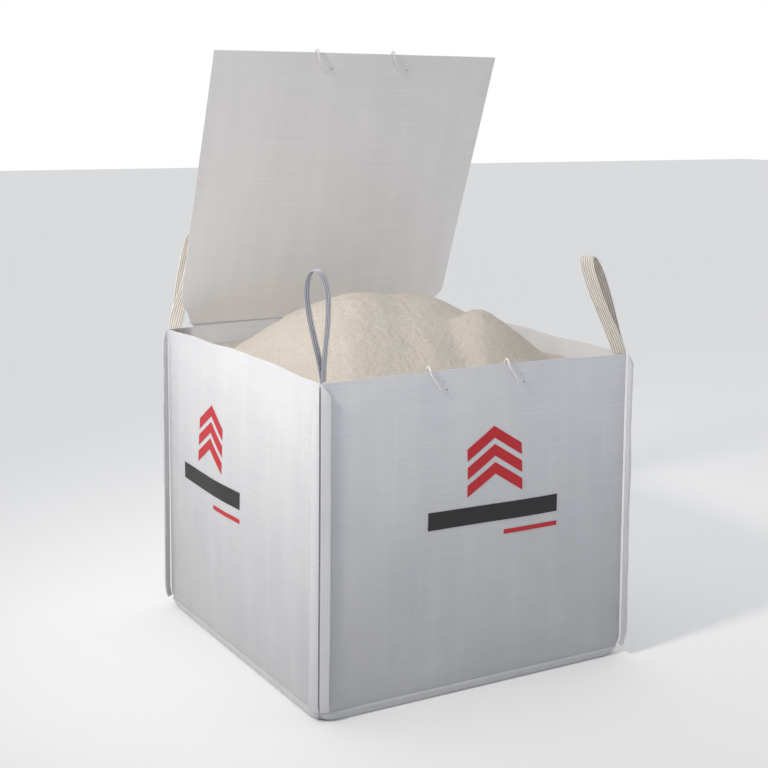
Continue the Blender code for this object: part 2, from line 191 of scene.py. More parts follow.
class Nodes:
    """A short way to write node trees."""

    def __init__(self, name):
        self.material = bpy.data.materials.new(name)
        self.material.use_nodes = True
        self.tree = self.material.node_tree
        self.shader = self.tree.nodes["Principled BSDF"]

    def add(self, kind, **settings):
        node = self.tree.nodes.new(f"ShaderNode{kind}")
        for key, value in settings.items():
            setattr(node, key, value)
        return node

    def put(self, socket, value):
        if isinstance(value, bpy.types.NodeSocket):
            self.tree.links.new(value, socket)
        else:
            socket.default_value = value

    def surface(self, name, value):
        self.put(self.shader.inputs[name], value)

    def math(self, operation, *values):
        node = self.add("Math", operation=operation)
        for socket, value in zip(node.inputs, values):
            self.put(socket, value)
        return node.outputs[0]

    def noise(self, vector, scale, detail=2.0, roughness=0.5):
        node = self.add("TexNoise")
        self.put(node.inputs["Vector"], vector)
        self.put(node.inputs["Scale"], scale)
        self.put(node.inputs["Detail"], detail)
        self.put(node.inputs["Roughness"], roughness)
        return node.outputs["Fac"]

    def cloth_noise(self, cloth, across, up, detail=2.0, roughness=0.5):
        """Noise stretched by its own rates across and up the cloth."""
        return self.noise(self.scaled(cloth, (across, up, 1.0)), 1.0, detail, roughness)

    def scaled(self, vector, factors):
        node = self.add("VectorMath", operation="MULTIPLY")
        self.put(node.inputs[0], vector)
        self.put(node.inputs[1], factors)
        return node.outputs[0]

    def split(self, vector):
        node = self.add("SeparateXYZ")
        self.put(node.inputs[0], vector)
        return node.outputs

    def mix(self, factor, first, second):
        node = self.add("Mix", data_type="RGBA")
        self.put(node.inputs[0], factor)
        self.put(node.inputs[6], first)
        self.put(node.inputs[7], second)
        return node.outputs[2]

    def spread(self, value, low, high, to_low=0.0, to_high=1.0):
        node = self.add("MapRange")
        for socket, number in zip(node.inputs, (value, low, high, to_low, to_high)):
            self.put(socket, number)
        return node.outputs[0]

    def cloth_place(self):
        """The piece's own cloth coordinates, in metres along and up the cloth."""
        return self.add("UVMap", uv_map="cloth").outputs[0]

    def place(self):
        return self.add("TexCoord").outputs["Object"]

    def bump(self, height, strength, distance):
        node = self.add("Bump")
        self.put(node.inputs["Height"], height)
        self.put(node.inputs["Strength"], strength)
        self.put(node.inputs["Distance"], distance)
        self.surface("Normal", node.outputs[0])


def woven(name, light, dark, warm=None, tape=0.0026, contrast=0.5, roughness=0.62, sheen=0.15, foot=1.0):
    """Woven flat tapes, each a little uneven, with soft bands; low on the cloth the colour is scaled by
    foot, as painted shade where foot is below one and painted light where it is above one.
    """
    n = Nodes(name)
    cloth = n.cloth_place()
    u, v, _ = n.split(cloth)
    across = n.math("SINE", n.math("MULTIPLY", u, 2 * math.pi / tape))
    up = n.math("SINE", n.math("MULTIPLY", v, 2 * math.pi / (tape * 1.1)))
    rows = n.cloth_noise(cloth, 3.0, 330.0, 3.0, 0.65)
    columns = n.cloth_noise(cloth, 260.0, 2.4, 2.0, 0.6)
    bands = n.cloth_noise(cloth, 16.0, 1.1, 2.0, 0.5)
    patches = n.cloth_noise(cloth, 4.5, 4.5, 3.0, 0.55)
    weave = n.math("MULTIPLY", across, up)
    tone = n.math("MULTIPLY_ADD", rows, 1.0 * contrast, 0.0)
    tone = n.math("MULTIPLY_ADD", columns, 0.35 * contrast, tone)
    tone = n.math("MULTIPLY_ADD", bands, 0.6 * contrast, tone)
    tone = n.math("MULTIPLY_ADD", patches, 0.5 * contrast, tone)
    tone = n.math("MULTIPLY_ADD", weave, 0.05 * contrast, tone)
    share = n.spread(tone, 0.80 * contrast, 1.62 * contrast)
    colour = n.mix(share, (*dark, 1), (*light, 1))
    if warm:
        stain = n.spread(n.cloth_noise(cloth, 2.2, 2.2, 4.0, 0.6), 0.52, 0.78, 0.0, 0.5)
        colour = n.mix(stain, colour, (*warm, 1))
    # Painted shade below one, painted light above one: the colour is scaled by foot at the bottom of the
    # cloth, fading to its own colour about 0.86 m up.
    if foot != 1:
        painted_ramp_height = n.math("MULTIPLY_ADD", patches, 0.10, v)
        colour = n.mix(n.spread(painted_ramp_height, 0.05, 0.86), n.scaled(colour, (foot, foot, foot)), colour)
    n.surface("Base Color", colour)
    n.surface("Roughness", n.spread(rows, 0.2, 0.8, roughness - 0.08, roughness + 0.10))
    n.surface("Specular IOR Level", 0.35)
    n.surface("Sheen Weight", sheen)
    n.surface("Sheen Roughness", 0.5)
    height = n.math("MULTIPLY_ADD", rows, 0.9, n.math("MULTIPLY", weave, 0.30))
    height = n.math("MULTIPLY_ADD", columns, 0.5, height)
    n.bump(height, 0.35, 0.0009)
    return n.material


RIB_PITCH, YARN_PITCH = 0.0024, 0.0030


def striped_webbing(name, light, dark, edge, count=6):
    """Webbing with lengthwise stripes across its width, each a herringbone of fine yarns."""
    n = Nodes(name)
    cloth = n.cloth_place()
    u, v, _ = n.split(cloth)
    lines = n.math("COSINE", n.math("MULTIPLY", u, 2 * math.pi * count / WEB_WIDTH))
    wander = n.cloth_noise(cloth, 30.0, 9.0, 2.0)
    stripe = n.spread(n.math("MULTIPLY_ADD", wander, 0.5, lines), -0.15, 0.75)
    ribs = n.math("SINE", n.math("MULTIPLY", v, 2 * math.pi / RIB_PITCH))
    slant = n.math("ADD", n.math("ABSOLUTE", u), v)
    yarn = n.math("SINE", n.math("MULTIPLY", slant, 2 * math.pi / YARN_PITCH))
    grime = n.cloth_noise(cloth, 60.0, 22.0, 4.0, 0.6)
    colour = n.mix(stripe, (*dark, 1), (*light, 1))
    border = n.spread(n.math("ABSOLUTE", u), WEB_WIDTH * 0.44, WEB_WIDTH * 0.47)
    colour = n.mix(border, colour, (*edge, 1))
    colour = n.mix(n.spread(grime, 0.45, 0.8, 0.0, 0.35), colour, (*[c * 0.7 for c in dark], 1))
    n.surface("Base Color", colour)
    n.surface("Roughness", n.spread(grime, 0.2, 0.8, 0.65, 0.9))
    n.surface("Specular IOR Level", 0.3)
    n.surface("Sheen Weight", 0.2)
    height = n.math("MULTIPLY_ADD", yarn, 0.25, n.math("MULTIPLY", lines, 0.8))
    height = n.math("MULTIPLY_ADD", ribs, 0.25, height)
    n.bump(height, 0.6, 0.0007)
    return n.material


def sandy(name):
    """Loose sand: fine grains, a few coarse ones, damp and dry patches and small lumps."""
    n = Nodes(name)
    place = n.place()
    grain = n.noise(place, 900.0, 2.0, 0.7)
    coarse = n.noise(place, 260.0, 3.0, 0.7)
    lumps = n.noise(place, 55.0, 5.0, 0.6)
    patches = n.noise(place, 9.0, 4.0, 0.55)
    colour = n.mix(n.spread(grain, 0.36, 0.64), (0.455, 0.405, 0.345, 1), (0.895, 0.83, 0.75, 1))
    colour = n.mix(n.spread(coarse, 0.3, 0.7, 0.0, 0.35), colour, (0.845, 0.795, 0.72, 1))
    colour = n.mix(n.spread(patches, 0.35, 0.72, 0.0, 0.32), colour, (0.60, 0.545, 0.475, 1))
    specks = n.spread(n.noise(place, 420.0, 0.0), 0.70, 0.76, 0.0, 0.5)
    colour = n.mix(specks, colour, (0.33, 0.28, 0.23, 1))
    n.surface("Base Color", colour)
    n.surface("Roughness", n.spread(coarse, 0.3, 0.7, 0.86, 0.98))
    n.surface("Specular IOR Level", 0.25)
    height = n.math("MULTIPLY_ADD", grain, 0.25, n.math("MULTIPLY_ADD", coarse, 0.5, lumps))
    n.bump(height, 1.0, 0.008)
    return n.material


def corded(name, light, dark, pitch=0.0045):
    """Twisted cord: strands that wind round it, with dirt between them."""
    n = Nodes(name)
    place = n.place()
    fuzz = n.noise(place, 700.0, 3.0, 0.7)
    strands = n.noise(place, 1.6 / pitch, 1.0, 0.4)
    colour = n.mix(n.spread(strands, 0.38, 0.62), (*dark, 1), (*light, 1))
    colour = n.mix(n.spread(fuzz, 0.3, 0.7, 0.0, 0.25), colour, (*light, 1))
    n.surface("Base Color", colour)
    n.surface("Roughness", n.spread(fuzz, 0.2, 0.8, 0.6, 0.85))
    n.surface("Sheen Weight", 0.2)
    n.bump(n.math("MULTIPLY_ADD", fuzz, 0.4, strands), 0.5, 0.0008)
    return n.material


def plain_rough(name, light, dark, scale, roughness):
    """A small part's surface: an uneven tone and a fine rough grain."""
    n = Nodes(name)
    mottle = n.noise(n.place(), scale, 4.0, 0.6)
    n.surface("Base Color", n.mix(n.spread(mottle, 0.3, 0.7), (*dark, 1), (*light, 1)))
    n.surface("Roughness", n.spread(mottle, 0.2, 0.8, roughness - 0.08, roughness + 0.08))
    n.bump(mottle, 0.3, 0.0005)
    return n.material


# The shell's cloth has painted shade toward its foot (foot=0.66).
FABRIC_SKIN = woven("woven_fabric", (0.79, 0.79, 0.81), (0.63, 0.635, 0.665),
                    warm=(0.72, 0.705, 0.68), foot=0.66)
# The flaps' cloth has painted shade toward its foot (foot=0.86).
SEAM_SKIN = woven("seam_fabric", (0.78, 0.78, 0.80), (0.66, 0.66, 0.68), tape=0.0022, foot=0.86)
# Painted shade: the hem's cloth is darker than the panels' cloth.
HEM_SHADE_SKIN = woven("hem_fabric_shaded", (0.62, 0.625, 0.64), (0.50, 0.505, 0.525), tape=0.0022, contrast=0.7)
# The lid's cloth has painted light toward its lower edge at the hinge (foot=1.16).
LID_SKIN = woven("lid_fabric", (0.85, 0.835, 0.83), (0.72, 0.71, 0.705), foot=1.16)
WEB_SKIN = striped_webbing("striped_webbing", (0.86, 0.83, 0.785), (0.50, 0.44, 0.37), (0.90, 0.885, 0.86))
SHADED_WEB_SKIN = striped_webbing("shaded_webbing", (0.80, 0.79, 0.79), (0.17, 0.20, 0.28),
                                  (0.40, 0.41, 0.45), count=3)
CORD_SKIN = corded("tie_cord", (0.90, 0.89, 0.88), (0.62, 0.60, 0.58))
THREAD_SKIN = corded("thread", (0.84, 0.83, 0.82), (0.55, 0.54, 0.53), pitch=0.002)
RED_INK = plain_rough("red_ink", (0.60, 0.018, 0.026), (0.48, 0.013, 0.020), 500.0, 0.55)
BLACK_INK = plain_rough("black_ink", (0.022, 0.021, 0.023), (0.013, 0.012, 0.014), 500.0, 0.55)
# Painted shade: the holes are dark dots standing in for the shade inside them.
HOLE_SHADE_SKIN = plain_rough("hole_painted_shade", (0.10, 0.10, 0.11), (0.05, 0.05, 0.055), 900.0, 0.8)
SAND_SKIN = sandy("sand")


# -------- meshes

THREAD_SIDES = 5
STITCH_DUTY, STITCH_DIP = 0.62, 0.0006
SHARP_EDGE, SOFT_SHARP_EDGE = math.radians(50), math.radians(60)


def add_object(name, mesh, material):
    mesh.materials.append(material)
    thing = bpy.data.objects.new(name, mesh)
    bpy.context.scene.collection.objects.link(thing)
    return thing


def grid_faces(rows, columns, start=0, flip=False, around=False):
    """The quads of a grid of vertices, as an array."""
    r = np.arange(rows - 1)[:, None]
    c = np.arange(columns if around else columns - 1)[None, :]
    nxt = (c + 1) % columns
    low, high = r * columns, (r + 1) * columns
    quads = np.stack([low + c, low + nxt, high + nxt, high + c], axis=-1)
    quads = quads.reshape(-1, 4) + start
    return quads[:, ::-1] if flip else quads


def make_mesh(name, points, faces, uvs, material):
    """A mesh from points and faces, with cloth coordinates per vertex where given."""
    mesh = bpy.data.meshes.new(name)
    mesh.from_pydata([tuple(p) for p in points], [], [tuple(int(i) for i in f) for f in faces])
    if uvs is not None:
        layer = mesh.uv_layers.new(name="cloth")
        corners = np.empty(len(mesh.loops), dtype=np.int64)
        mesh.loops.foreach_get("vertex_index", corners)
        layer.data.foreach_set("uv", np.asarray(uvs, dtype=np.float32)[corners].ravel())
    mesh.validate()
    mesh.shade_smooth()
    return add_object(name, mesh, material)


def rim_loop(rows, columns):
    """The edge vertices of a grid, in order round it."""
    rim = list(range(columns))
    rim += [r * columns + columns - 1 for r in range(1, rows)]
    rim += [(rows - 1) * columns + c for c in reversed(range(columns - 1))]
    rim += [r * columns for r in reversed(range(1, rows - 1))]
    return rim


def cloth_sheet(name, outer, inner, uvs, material):
    """A thin closed sheet from two grids of points, the outer one seen with its rows going up."""
    rows, columns = len(outer), len(outer[0])
    skin = rows * columns
    points = [p for grid in (outer, inner) for row in grid for p in row]
    both = [w for row in uvs + uvs for w in row]
    faces = list(grid_faces(rows, columns)) + list(grid_faces(rows, columns, skin, flip=True))
    rim = rim_loop(rows, columns)
    faces += [(b, a, skin + a, skin + b) for a, b in zip(rim, rim[1:] + rim[:1])]
    thing = make_mesh(name, points, faces, both, material)
    thing.data.set_sharp_from_angle(angle=SHARP_EDGE)
    return thing


def thread(route, radius, start):
    """Points and faces of a closed thin tube along a route, its faces counted from start."""
    sides = THREAD_SIDES
    route = [Vector(p) for p in route]
    points = []
    last = None
    for i, place in enumerate(route):
        ahead = route[min(i + 1, len(route) - 1)] - route[max(i - 1, 0)]
        ahead.normalize()
        side = ahead.cross(UP if abs(ahead.z) < 0.9 else Vector((1, 0, 0))) if last is None else last
        side = (side - ahead * side.dot(ahead)).normalized()
        last = side
        over = ahead.cross(side)
        for k in range(sides):
            turn = 2 * math.pi * k / sides
            points.append(place + side * radius * math.cos(turn) + over * radius * math.sin(turn))
    rings = len(route)
    faces = list(grid_faces(rings, sides, start, around=True))
    faces.append(tuple(start + k for k in reversed(range(sides))))
    faces.append(tuple(start + (rings - 1) * sides + k for k in range(sides)))
    return points, faces


def stitches(name, spans, radius):
    """Many short threads as one piece: each span is a short route."""
    points, faces = [], []
    for span in spans:
        more, quads = thread(span, radius, len(points))
        points += more
        faces += quads
    return make_mesh(name, points, faces, None, THREAD_SKIN)


def thread_run(place, length, pitch, lift):
    """Stitches along a seam: place(s) gives (point, outward) at a distance along it."""
    spans = []
    count = max(1, int(length / pitch))
    for i in range(count):
        s0 = (i + 0.5 - STITCH_DUTY / 2) * length / count
        s1 = (i + 0.5 + STITCH_DUTY / 2) * length / count
        span = []
        for t, rise in ((0.0, -STITCH_DIP), (0.12, lift * 0.7), (0.5, lift), (0.88, lift * 0.7),
                        (1.0, -STITCH_DIP)):
            point, outward = place(s0 + (s1 - s0) * t)
            span.append(point + outward * rise)
        spans.append(span)
    return spans


# -------- the fabric shell

RIM_CROWNS = {"front": 0.0045, "right": 0.006, "rear": 0.007, "left": 0.0085}
SHELL_SKIN = 0.0016
ARC_STEPS, STRAIGHT_STEPS, SHELL_LEVELS = 5, 110, 110
FOOT_CROWDING = 1.25
# Each wave along a rim: its rate, where it starts, and its height
RIM_WAVES = ((5.1, 0.6, 0.0022), (11.3, 2.1, 0.0015))
STIFF_RIM_SHARE = 0.35
PANEL_SEEDS = {"front": 0.0, "right": 7.3, "rear": 13.1, "left": 21.7}
BROAD_RUMPLE, MID_RUMPLE, FINE_RUMPLE, FOOT_PULL = 0.0105, 0.0026, 0.0007, 0.0011
BASE_RINGS, BASE_CROWDING, BASE_REACH = 14, 0.8, 0.98


def rim_top(name, share):
    """The rim's height along a side: a low crown with the small waves of loose fabric."""
    crown = RIM_HEIGHT + RIM_CROWNS[name] * (1 - share * share)
    wave = sum(math.sin(rate * share + start) * size for rate, start, size in RIM_WAVES)
    return crown + (wave if name in ("left", "right") else wave * STIFF_RIM_SHARE) * (1 - share**4)


def rumple(name, share, z):
    """How far the fabric stands in or out of its smooth wall, fading to nothing at its seams."""
    side = SIDES[name]
    x = share * side.half_along
    near_corner = smooth(0.0, 0.09, side.half_along * (1 - abs(share)) - 0.020)
    near_foot = smooth(0.030, 0.12, z)
    near_rim = 1 - smooth(RIM_HEIGHT - 0.03, RIM_HEIGHT, z) * 0.5
    seed = PANEL_SEEDS[name]
    broad = noise.noise(Vector((x * 2.3 + seed, z * 2.6, seed))) * BROAD_RUMPLE
    mid = noise.noise(Vector((x * 6.1, z * 5.0 + seed, seed + 3))) * MID_RUMPLE
    fine = noise.noise(Vector((x * 17.0 + seed, z * 11.0, seed + 9))) * FINE_RUMPLE
    foot_pull = math.sin(x * 34 + 2.2 * math.sin(x * 9 + seed)) * FOOT_PULL
    foot_pull *= math.exp(-((z - 0.07) / 0.06) ** 2)
    return (broad + mid + fine + foot_pull) * near_corner * near_foot * near_rim


def shell_stations():
    """The stations along a side: half of one corner's arc, the straight, and half of the next arc."""
    lead = [(-1, -CORNER_TURN * (1 - i / ARC_STEPS)) for i in range(ARC_STEPS)]
    straight = [(2 * i / STRAIGHT_STEPS - 1, 0) for i in range(STRAIGHT_STEPS + 1)]
    return lead + straight + [(1, -turn) for _, turn in reversed(lead)]


def panel_point(name, station, z, inset):
    side = SIDES[name]
    return wall(side, station, z, inset) + side.out * rumple(name, station[0], z)


def make_panel(name):
    side = SIDES[name]
    places = shell_stations()
    outer, inner, uvs = [], [], []
    for level in range(SHELL_LEVELS + 1):
        share_up = (level / SHELL_LEVELS) ** FOOT_CROWDING
        row = [(place, GAP + (rim_top(name, place[0]) - GAP) * share_up) for place in places]
        outer.append([panel_point(name, place, z, 0.0) for place, z in row])
        inner.append([panel_point(name, place, z, SHELL_SKIN) for place, z in row])
        uvs.append([(share * side.half_along + turn * CORNER_RADIUS, z) for (share, turn), z in row])
    piece = cloth_sheet(f"{name}_panel_cloth", outer, inner, uvs, FABRIC_SKIN)
    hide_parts(f"{name}_panel")
    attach(piece, ROOT)


def make_base():
    """The base: a flat closed sheet on the floor, out to the foot of the panels."""
    ring_places = [(side, place) for side in SIDES.values() for place in shell_stations()[:-1]]
    points, uvs = [], []
    for height in (0.0, SHELL_SKIN):
        for r in range(BASE_RINGS + 1):
            scale = 1 - (r / BASE_RINGS) ** BASE_CROWDING * BASE_REACH
            for side, place in ring_places:
                edge = wall(side, place, 0.0, SHELL_SKIN + GAP)
                x, y = edge.x * scale, edge.y * scale
                points.append(Vector((x, y, height)))
                uvs.append((x, y))
    count = len(ring_places)
    skin = (BASE_RINGS + 1) * count
    faces = list(grid_faces(BASE_RINGS + 1, count, 0, flip=True, around=True))
    faces += list(grid_faces(BASE_RINGS + 1, count, skin, around=True))
    for i in range(count):
        j = (i + 1) % count
        faces.append((i, j, skin + j, skin + i))
    last = BASE_RINGS * count
    faces.append(tuple(last + i for i in reversed(range(count))))
    faces.append(tuple(skin + last + i for i in range(count)))
    piece = make_mesh("base_cloth", points, faces, uvs, FABRIC_SKIN)
    piece.data.set_sharp_from_angle(angle=SHARP_EDGE)
    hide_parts("base_panel")
    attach(piece, ROOT)


# The strip's section: height, and how far it stands out from the wall
HEM_PROFILE = ((0.0010, 0.0002), (0.0005, 0.0016), (0.0040, 0.0028), (0.0110, 0.0026), (0.0180, 0.0029),
               (0.0228, 0.0024), (0.0240, 0.0010))
HEM_LUMP, HEM_GATHER = 0.0005, 0.0002
HEM_STITCH_HEIGHTS, HEM_STITCH_OUT = (0.0075, 0.0195), 0.0030
HEM_STITCH_PITCH, HEM_STITCH_LIFT, HEM_THREAD_RADIUS = 0.0068, 0.0004, 0.00055


def make_hem(name):
    """The rolled strip round the foot, in a cloth darkened as painted shade, with two rows of stitching."""
    side = SIDES[name]
    places = shell_stations()[1:-1]
    outer, inner, uvs = [], [], []
    for z, stand in HEM_PROFILE:
        row_out, row_in, row_uv = [], [], []
        for share, turn in places:
            x = share * side.half_along + turn * FOOT_RADIUS
            lump = noise.noise(Vector((x * 22, z * 60, side.half_out * 9))) * HEM_LUMP
            gather = math.sin(x * 210) * HEM_GATHER
            row_out.append(wall(side, (share, turn), z, -HEM_STANDOFF - stand - lump - gather))
            row_in.append(wall(side, (share, turn), z, -HEM_STANDOFF * 0.2))
            row_uv.append((x, z))
        outer.append(row_out)
        inner.append(row_in)
        uvs.append(row_uv)
    piece = cloth_sheet(f"{name}_hem_cloth", outer, inner, uvs, HEM_SHADE_SKIN)
    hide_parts(f"{name}_bottom_hem")
    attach(piece, ROOT)
    spans = []
    for z in HEM_STITCH_HEIGHTS:
        track = [wall(side, place, z, -HEM_STANDOFF - HEM_STITCH_OUT) for place in places]
        spans += follow(track, side)
    threads = stitches(f"{name}_hem_thread", spans, HEM_THREAD_RADIUS)
    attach(threads, ROOT)


def follow(track, side):
    """The hem's stitches along a track of points on a side."""
    lengths = [0.0]
    for a, b in zip(track, track[1:]):
        lengths.append(lengths[-1] + (b - a).length)
    total = lengths[-1]

    def place(s):
        s = min(max(s, 0.0), total)
        i = int(np.searchsorted(lengths, s, side="right")) - 1
        i = min(max(i, 0), len(track) - 2)
        t = (s - lengths[i]) / max(lengths[i + 1] - lengths[i], 1e-9)
        ahead = (track[i + 1] - track[i]).normalized()
        outward = ahead.cross(UP)
        if outward.dot(side.out) < 0:
            outward = -outward
        return track[i].lerp(track[i + 1], t), outward.normalized()

    return thread_run(place, total, HEM_STITCH_PITCH, HEM_STITCH_LIFT)


# -------- printed marks

INK_STANDOFF, INK_THICKNESS = 0.0005, 0.0004
INK_STEP = 0.006

# Each band: its middle along and up from the mark's, half length, height, how far its ends dip, its ink
MARK_BANDS = (
    (0.0, 0.178, 0.085, 0.030, 0.052, RED_INK),
    (0.0, 0.132, 0.085, 0.030, 0.052, RED_INK),
    (0.0, 0.086, 0.085, 0.030, 0.052, RED_INK),
    (0.0, -0.030, 0.200, 0.046, 0.0, BLACK_INK),
    (0.115, -0.085, 0.085, 0.012, 0.0, RED_INK),
)
MARKS = {"front": (0.030, 0.495), "left": (-0.150, 0.480)}


def make_marks(name):
    """A plain lift-upward print in place of the maker's: three chevrons over a long bar and a thin one."""
    side = SIDES[name]
    middle, height = MARKS[name]
    for number, (along, up, half, tall, dip, ink) in enumerate(MARK_BANDS):
        columns, rows = max(2, round(2 * half / INK_STEP)), max(2, round(tall / INK_STEP))
        outer, inner = [], []
        for r in range(rows + 1):
            row_out, row_in = [], []
            for c in range(columns + 1):
                run = half * (2 * c / columns - 1)
                z = height + up + tall * (r / rows - 0.5) - dip * abs(run) / half
                station = ((middle + along + run) / side.half_along, 0)
                row_out.append(panel_point(name, station, z, -INK_STANDOFF - INK_THICKNESS))
                row_in.append(panel_point(name, station, z, -INK_STANDOFF))
            outer.append(row_out)
            inner.append(row_in)
        uvs = [[(0.0, 0.0)] * (columns + 1)] * (rows + 1)
        piece = cloth_sheet(f"{name}_mark_{number}", outer, inner, uvs, ink)
        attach(piece, ROOT)


# -------- corner flaps

FLAP_LEVELS, FLAP_COLUMNS = 90, 7
FLAP_WAVE = math.radians(13)
FLAP_SKIN, FLAP_CURL, FLAP_LIFT = 0.0013, 0.0011, 0.0012
FLAP_STITCH_AT, FLAP_STITCHED = 0.20, 0.94
FLAP_STITCH_PITCH, FLAP_STITCH_LIFT, FLAP_THREAD_RADIUS = 0.0085, 0.0006, 0.0005
LOOSE_FLAPS = {"front_left_flap_left": math.radians(30), "front_left_flap_front": math.radians(8)}


def make_flap(name, side_name, at_end, lift, seed):
    """A turned-out seam allowance: a wavy strip with a chamfered top and a row of stitches by its root."""
    side = SIDES[side_name]
    inward = side.along * (-1 if at_end else 1)
    corner = (1, CORNER_TURN) if at_end else (-1, -CORNER_TURN)
    loose = LOOSE_FLAPS.get(name, 0.0)

    def strip(level_share, out_share, depth):
        z = FLAP_FOOT + (RIM_HEIGHT - GAP - FLAP_FOOT) * level_share
        wave = noise.noise(Vector((z * 7.0, seed, 0.0))) * 0.7
        wave += noise.noise(Vector((z * 19.0, seed, 4.0))) * 0.3
        wave *= smooth(0.0, 0.1, level_share) * (1 - smooth(0.9, 1.0, level_share))
        turn = lift + loose * (1 - level_share) ** 1.5 + wave * FLAP_WAVE
        reach = inward * math.cos(turn) + side.out * math.sin(turn)
        face = side.out * math.cos(turn) - inward * math.sin(turn)
        root = wall(side, corner, z) + side.out * FLAP_STANDOFF - inward * FLAP_PAST_CORNER
        width = FLAP_WIDTH * (1 + 0.05 * noise.noise(Vector((z * 5.0, seed, 8.0))))
        cut = FLAP_CUT * smooth(0.94, 1.0, level_share) * out_share
        curl = math.sin(out_share * math.pi) * FLAP_CURL
        return root + reach * width * out_share - UP * cut + face * (curl + FLAP_LIFT + depth)

    outer, inner, uvs = [], [], []
    for level in range(FLAP_LEVELS + 1):
        share_up = level / FLAP_LEVELS
        shares = [c / FLAP_COLUMNS for c in range(FLAP_COLUMNS + 1)]
        if at_end:
            shares.reverse()
        outer.append([strip(share_up, s, FLAP_SKIN / 2) for s in shares])
        inner.append([strip(share_up, s, -FLAP_SKIN / 2) for s in shares])
        uvs.append([(s * FLAP_WIDTH, share_up * RIM_HEIGHT) for s in shares])
    piece = cloth_sheet(f"{name}_cloth", outer, inner, uvs, SEAM_SKIN)
    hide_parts(name)
    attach(piece, ROOT)

    def seam_place(s):
        share_up = 0.01 + 0.93 * s / (RIM_HEIGHT * FLAP_STITCHED)
        outward = side.out * math.cos(lift) - inward * math.sin(lift)
        return strip(share_up, FLAP_STITCH_AT, FLAP_SKIN / 2), outward

    spans = thread_run(seam_place, RIM_HEIGHT * FLAP_STITCHED, FLAP_STITCH_PITCH, FLAP_STITCH_LIFT)
    threads = stitches(f"{name}_thread", spans, FLAP_THREAD_RADIUS)
    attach(threads, ROOT)


# -------- lift loops

def corner_way(corner):
    return (SIDES[corner["starts"]].out + SIDES[corner["ends"]].out).normalized()


def corner_point(corner):
    starts, ends = SIDES[corner["starts"]], SIDES[corner["ends"]]
    return starts.out * starts.half_out + ends.out * ends.half_out


LOOP_STEPS = 120
LOOP_START = math.radians(14)
LEG_GAP, WEB_PLY = 0.0007, 0.95
FRONT_LEG_STUB, REAR_LEG_STUB = 0.007, 0.002
# The webbing's section, with rounded edges, in shares of its width and thickness
WEB_FACE = ((-0.5, 0.0), (-0.497, 0.34), (-0.47, 0.48), (-0.25, 0.50), (0.0, 0.52), (0.25, 0.50),
            (0.47, 0.48), (0.497, 0.34))
WEB_PROFILE = WEB_FACE + tuple((-width, -thick) for width, thick in WEB_FACE)


def make_loop(name):
    """Webbing bent into a teardrop, one continuous band whose two legs meet at the rim."""
    corner, lean = CORNERS[name], LOOP_LEANS[name]
    way = corner_way(corner)
    across = UP.cross(way)
    foot = corner_point(corner) - way * (WEB_START + WEB_WIDTH / 2) + UP * (RIM_HEIGHT + LOOP_FOOT_LIFT)

    def centre(angle):
        half = math.sin(angle / 2)
        return LOOP_SPREAD * math.sin(angle) * half**2, LOOP_HEIGHT * half**2

    def place(sideways, up, width):
        share = min(max(up / TWIST_HEIGHT, 0), 1)
        turn = Matrix.Rotation(lean["twist"] * CORNER_TURN * share, 3, "Z")
        level = turn @ (across * sideways + way * width)
        return foot + level + Vector((lean["x"], lean["y"], lean["rise"])) * up

    points, uvs = [], []
    run = 0.0
    before = None
    for i in range(LOOP_STEPS + 1):
        angle = LOOP_START + (2 * math.pi - 2 * LOOP_START) * i / LOOP_STEPS
        side, up = centre(angle)
        ahead_side, ahead_up = centre(angle + 0.01)
        length = math.hypot(ahead_side - side, ahead_up - up) or 1.0
        normal = ((ahead_up - up) / length, -(ahead_side - side) / length)
        if before:
            run += math.hypot(side - before[0], up - before[1])
        before = (side, up)
        gap = LEG_GAP * (1 if i < LOOP_STEPS / 2 else -1)
        for width, thick in WEB_PROFILE:
            w, t = width * WEB_WIDTH, thick * WEB_THICKNESS * WEB_PLY
            points.append(place(side + gap + normal[0] * t, up + normal[1] * t, w))
            uvs.append((w, run))
    count = len(WEB_PROFILE)
    stub = UP * (FRONT_LEG_STUB if name.startswith("front") else REAR_LEG_STUB)
    points = [p - stub for p in points[:count]] + points + [p - stub for p in points[-count:]]
    uvs = uvs[:count] + uvs + uvs[-count:]
    faces = list(grid_faces(LOOP_STEPS + 3, count, around=True))
    last = (LOOP_STEPS + 2) * count
    faces.append(tuple(reversed(range(count))))
    faces.append(tuple(last + k for k in range(count)))
    skin = SHADED_WEB_SKIN if name == "front_left" else WEB_SKIN
    piece = make_mesh(f"{name}_loop_webbing", points, faces, uvs, skin)
    piece.data.set_sharp_from_angle(angle=SOFT_SHARP_EDGE)
    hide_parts(f"{name}_loop")
    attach(piece, f"{name}_lift_loop")


TAIL_ROWS, TAIL_COLUMNS = 40, 8
TAIL_STANDOFF, TAIL_PLY = 0.0006, 0.0017


def beside_corner(side, distance, z, inset):
    """A point of a side's wall at a distance from its start, or from its end where negative."""
    straight = side.half_along - FOOT_TUCK * foot_share(z) - corner_radius(z)
    along = math.copysign(side.half_along - abs(distance), -distance)
    return wall(side, (along / straight, 0), z, inset)


